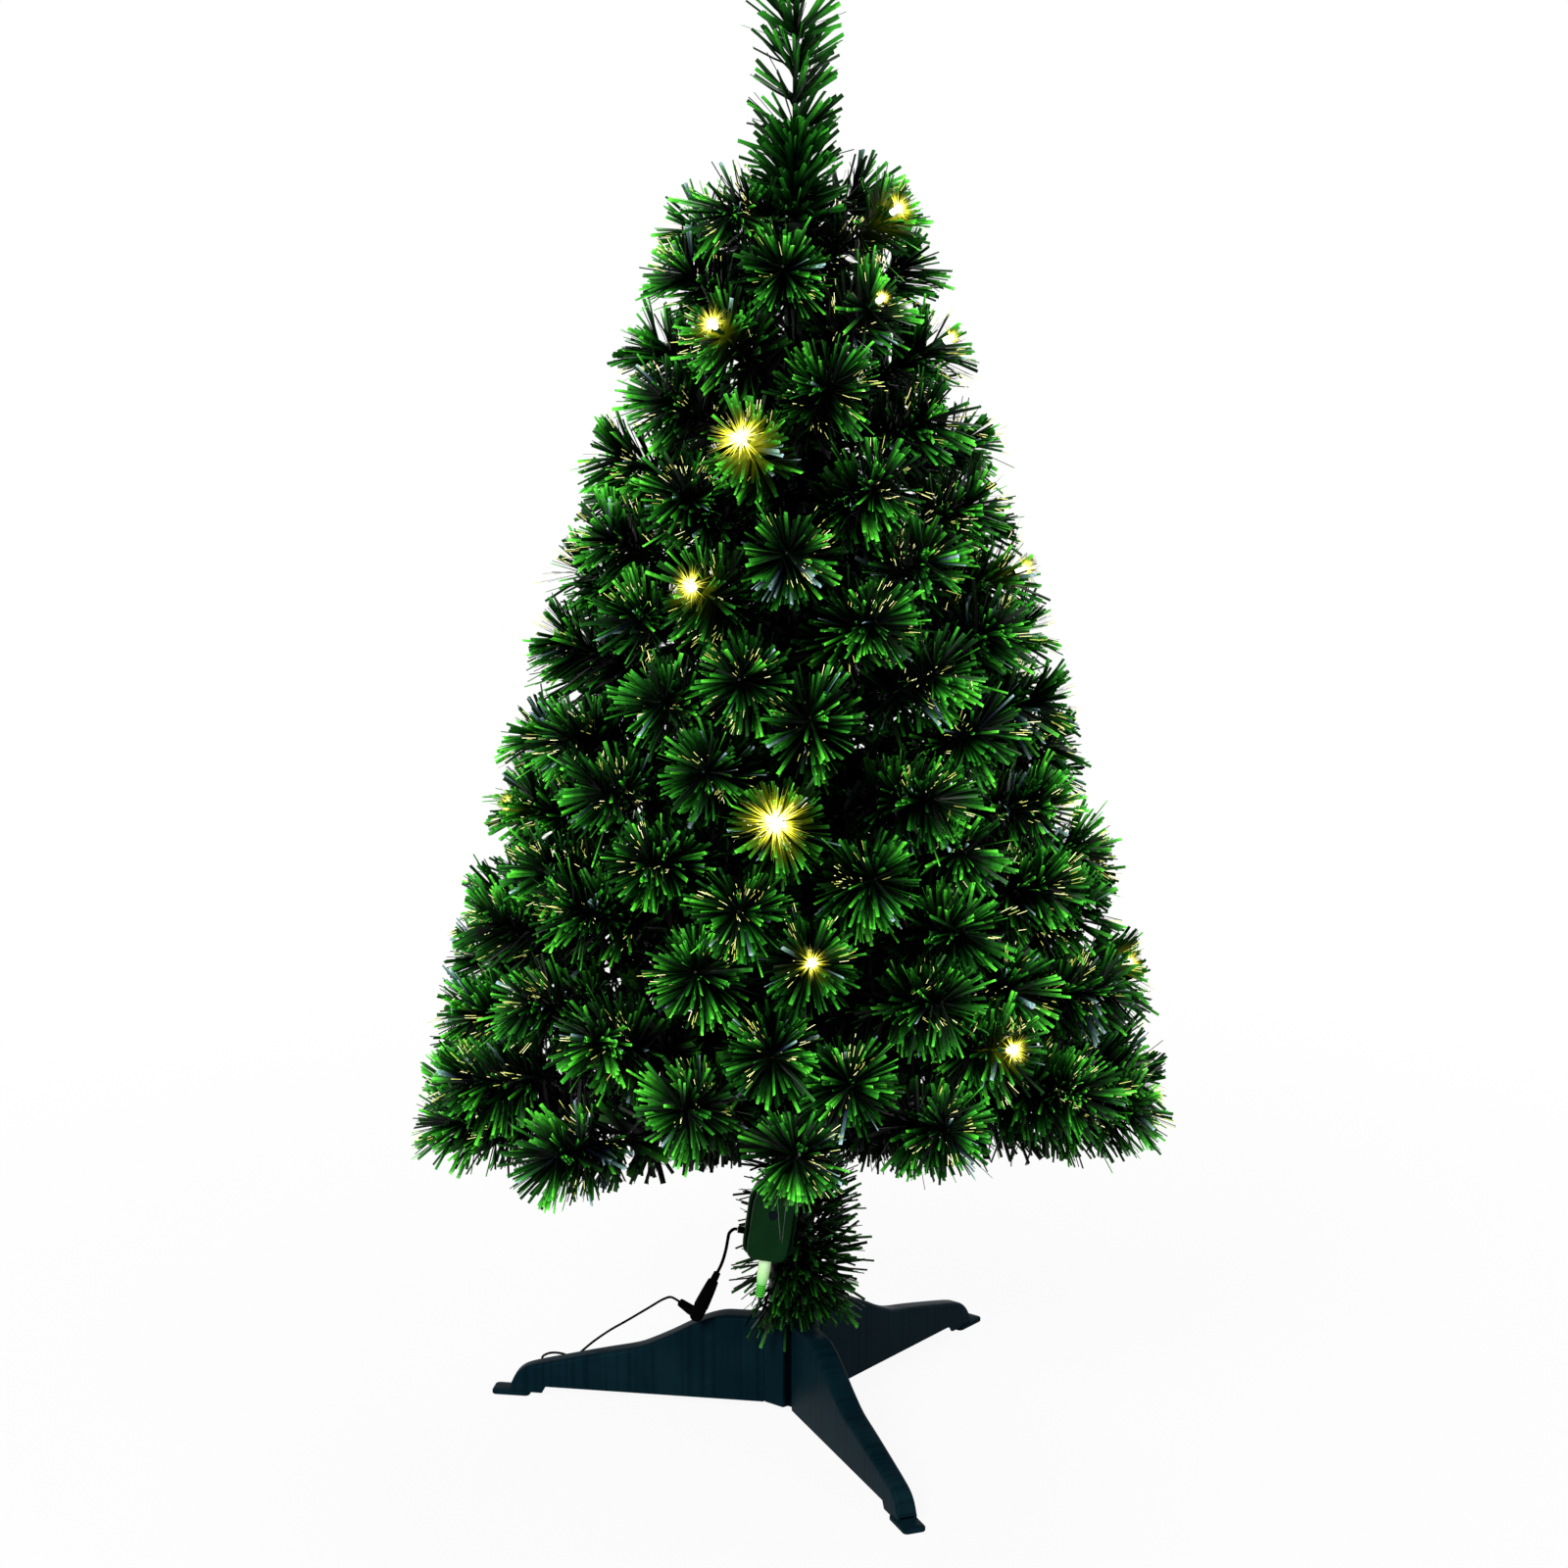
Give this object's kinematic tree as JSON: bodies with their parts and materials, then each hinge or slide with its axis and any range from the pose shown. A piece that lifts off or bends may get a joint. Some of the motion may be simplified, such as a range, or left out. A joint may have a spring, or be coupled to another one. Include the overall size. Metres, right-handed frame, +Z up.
{
  "type": "fiber optic christmas tree",
  "caption": "Artificial tree with wired needle branches, a fibre bundle in its trunk, bulbs on the branch ends, a light box with a push button, and a three-legged plastic stand.",
  "frame": {"origin": "on the floor under the trunk's axis, which is the centre of the foliage's extent", "axes": "+Z up along the trunk, +X to the right seen from the front, +Y away from the viewer"},
  "size_m": [0.5804, 0.6068, 1.1977],
  "materials": {
    "stand": "satin",
    "needles": "cut film needles on twisted wire",
    "trunk": "satin",
    "black_plastic": "satin",
    "light_box": "satin",
    "circuit_board": "glass-epoxy board",
    "pale_plastic": "translucent",
    "lamp": "clear lens",
    "bright_metal": "plated",
    "clear_fibre": "clear",
    "string_lead": "satin",
    "black_cord": "satin",
    "brass": "plated",
    "bulb": "clear, lit"
  },
  "bodies": {
    "stand": {"stand_hub": "stand", "leg_back": "stand", "leg_left": "stand", "leg_front": "stand"},
    "tree": {"branch_tier_01": "needles", "branch_tier_02": "needles", "branch_tier_03": "needles", "branch_tier_04": "needles", "branch_tier_05": "needles", "branch_tier_06": "needles", "branch_tier_07": "needles", "branch_tier_08": "needles", "branch_tier_09": "needles", "branch_tier_10": "needles", "branch_tier_11": "needles", "branch_tier_12": "needles", "trunk_lower": "trunk", "trunk_bush": "black_plastic", "trunk_upper": "trunk", "leader": "needles", "light_box_back": "light_box", "light_box_front": "light_box", "circuit_board": "circuit_board", "tact_switch": "black_plastic", "lamp_led": "lamp", "fibre_ferrule": "bright_metal", "string_socket": "black_plastic", "supply_gland": "black_plastic", "fibre_bundle": "clear_fibre", "trunk_garland": "needles", "supply_lead": "black_cord", "inline_socket": "black_plastic", "string_bulb_01": "bulb", "string_bulb_02": "bulb", "string_bulb_03": "bulb", "string_bulb_04": "bulb", "string_bulb_05": "bulb", "string_bulb_06": "bulb", "string_bulb_07": "bulb", "string_bulb_08": "bulb", "string_bulb_09": "bulb", "string_bulb_10": "bulb", "string_bulb_11": "bulb", "string_bulb_12": "bulb"},
    "button": {"mode_button": "pale_plastic"},
    "string_connector": {"string_plug": "pale_plastic", "string_lead": "string_lead"},
    "adapter_set": {"dc_plug_barrel": "bright_metal", "dc_plug_body": "black_plastic", "adapter_lead": "black_cord", "adapter_coil": "black_cord", "coil_tie": "black_plastic", "coil_tail": "black_cord", "power_adapter": "black_plastic", "adapter_pin_left": "brass", "adapter_pin_right": "brass"}
  },
  "joints": [
    {"name": "tree_lift", "type": "slide", "parent": "stand", "child": "tree", "axis": [0, 0, 1], "range_m": [0, 0.125]},
    {"name": "button_press", "type": "slide", "parent": "tree", "child": "button", "axis": [0, 1, 0], "range_m": [0, 0.0012], "stiffness_N_per_m": 800, "springref_m": -0.0003},
    {"name": "string_plug_pull", "type": "slide", "parent": "tree", "child": "string_connector", "axis": [-0.1478, 0, -0.989], "range_m": [0, 0.011]},
    {"name": "power_plug_pull", "type": "slide", "parent": "tree", "child": "adapter_set", "axis": [-0.4031, 0.123, -0.9068], "range_m": [0, 0.011]}
  ]
}
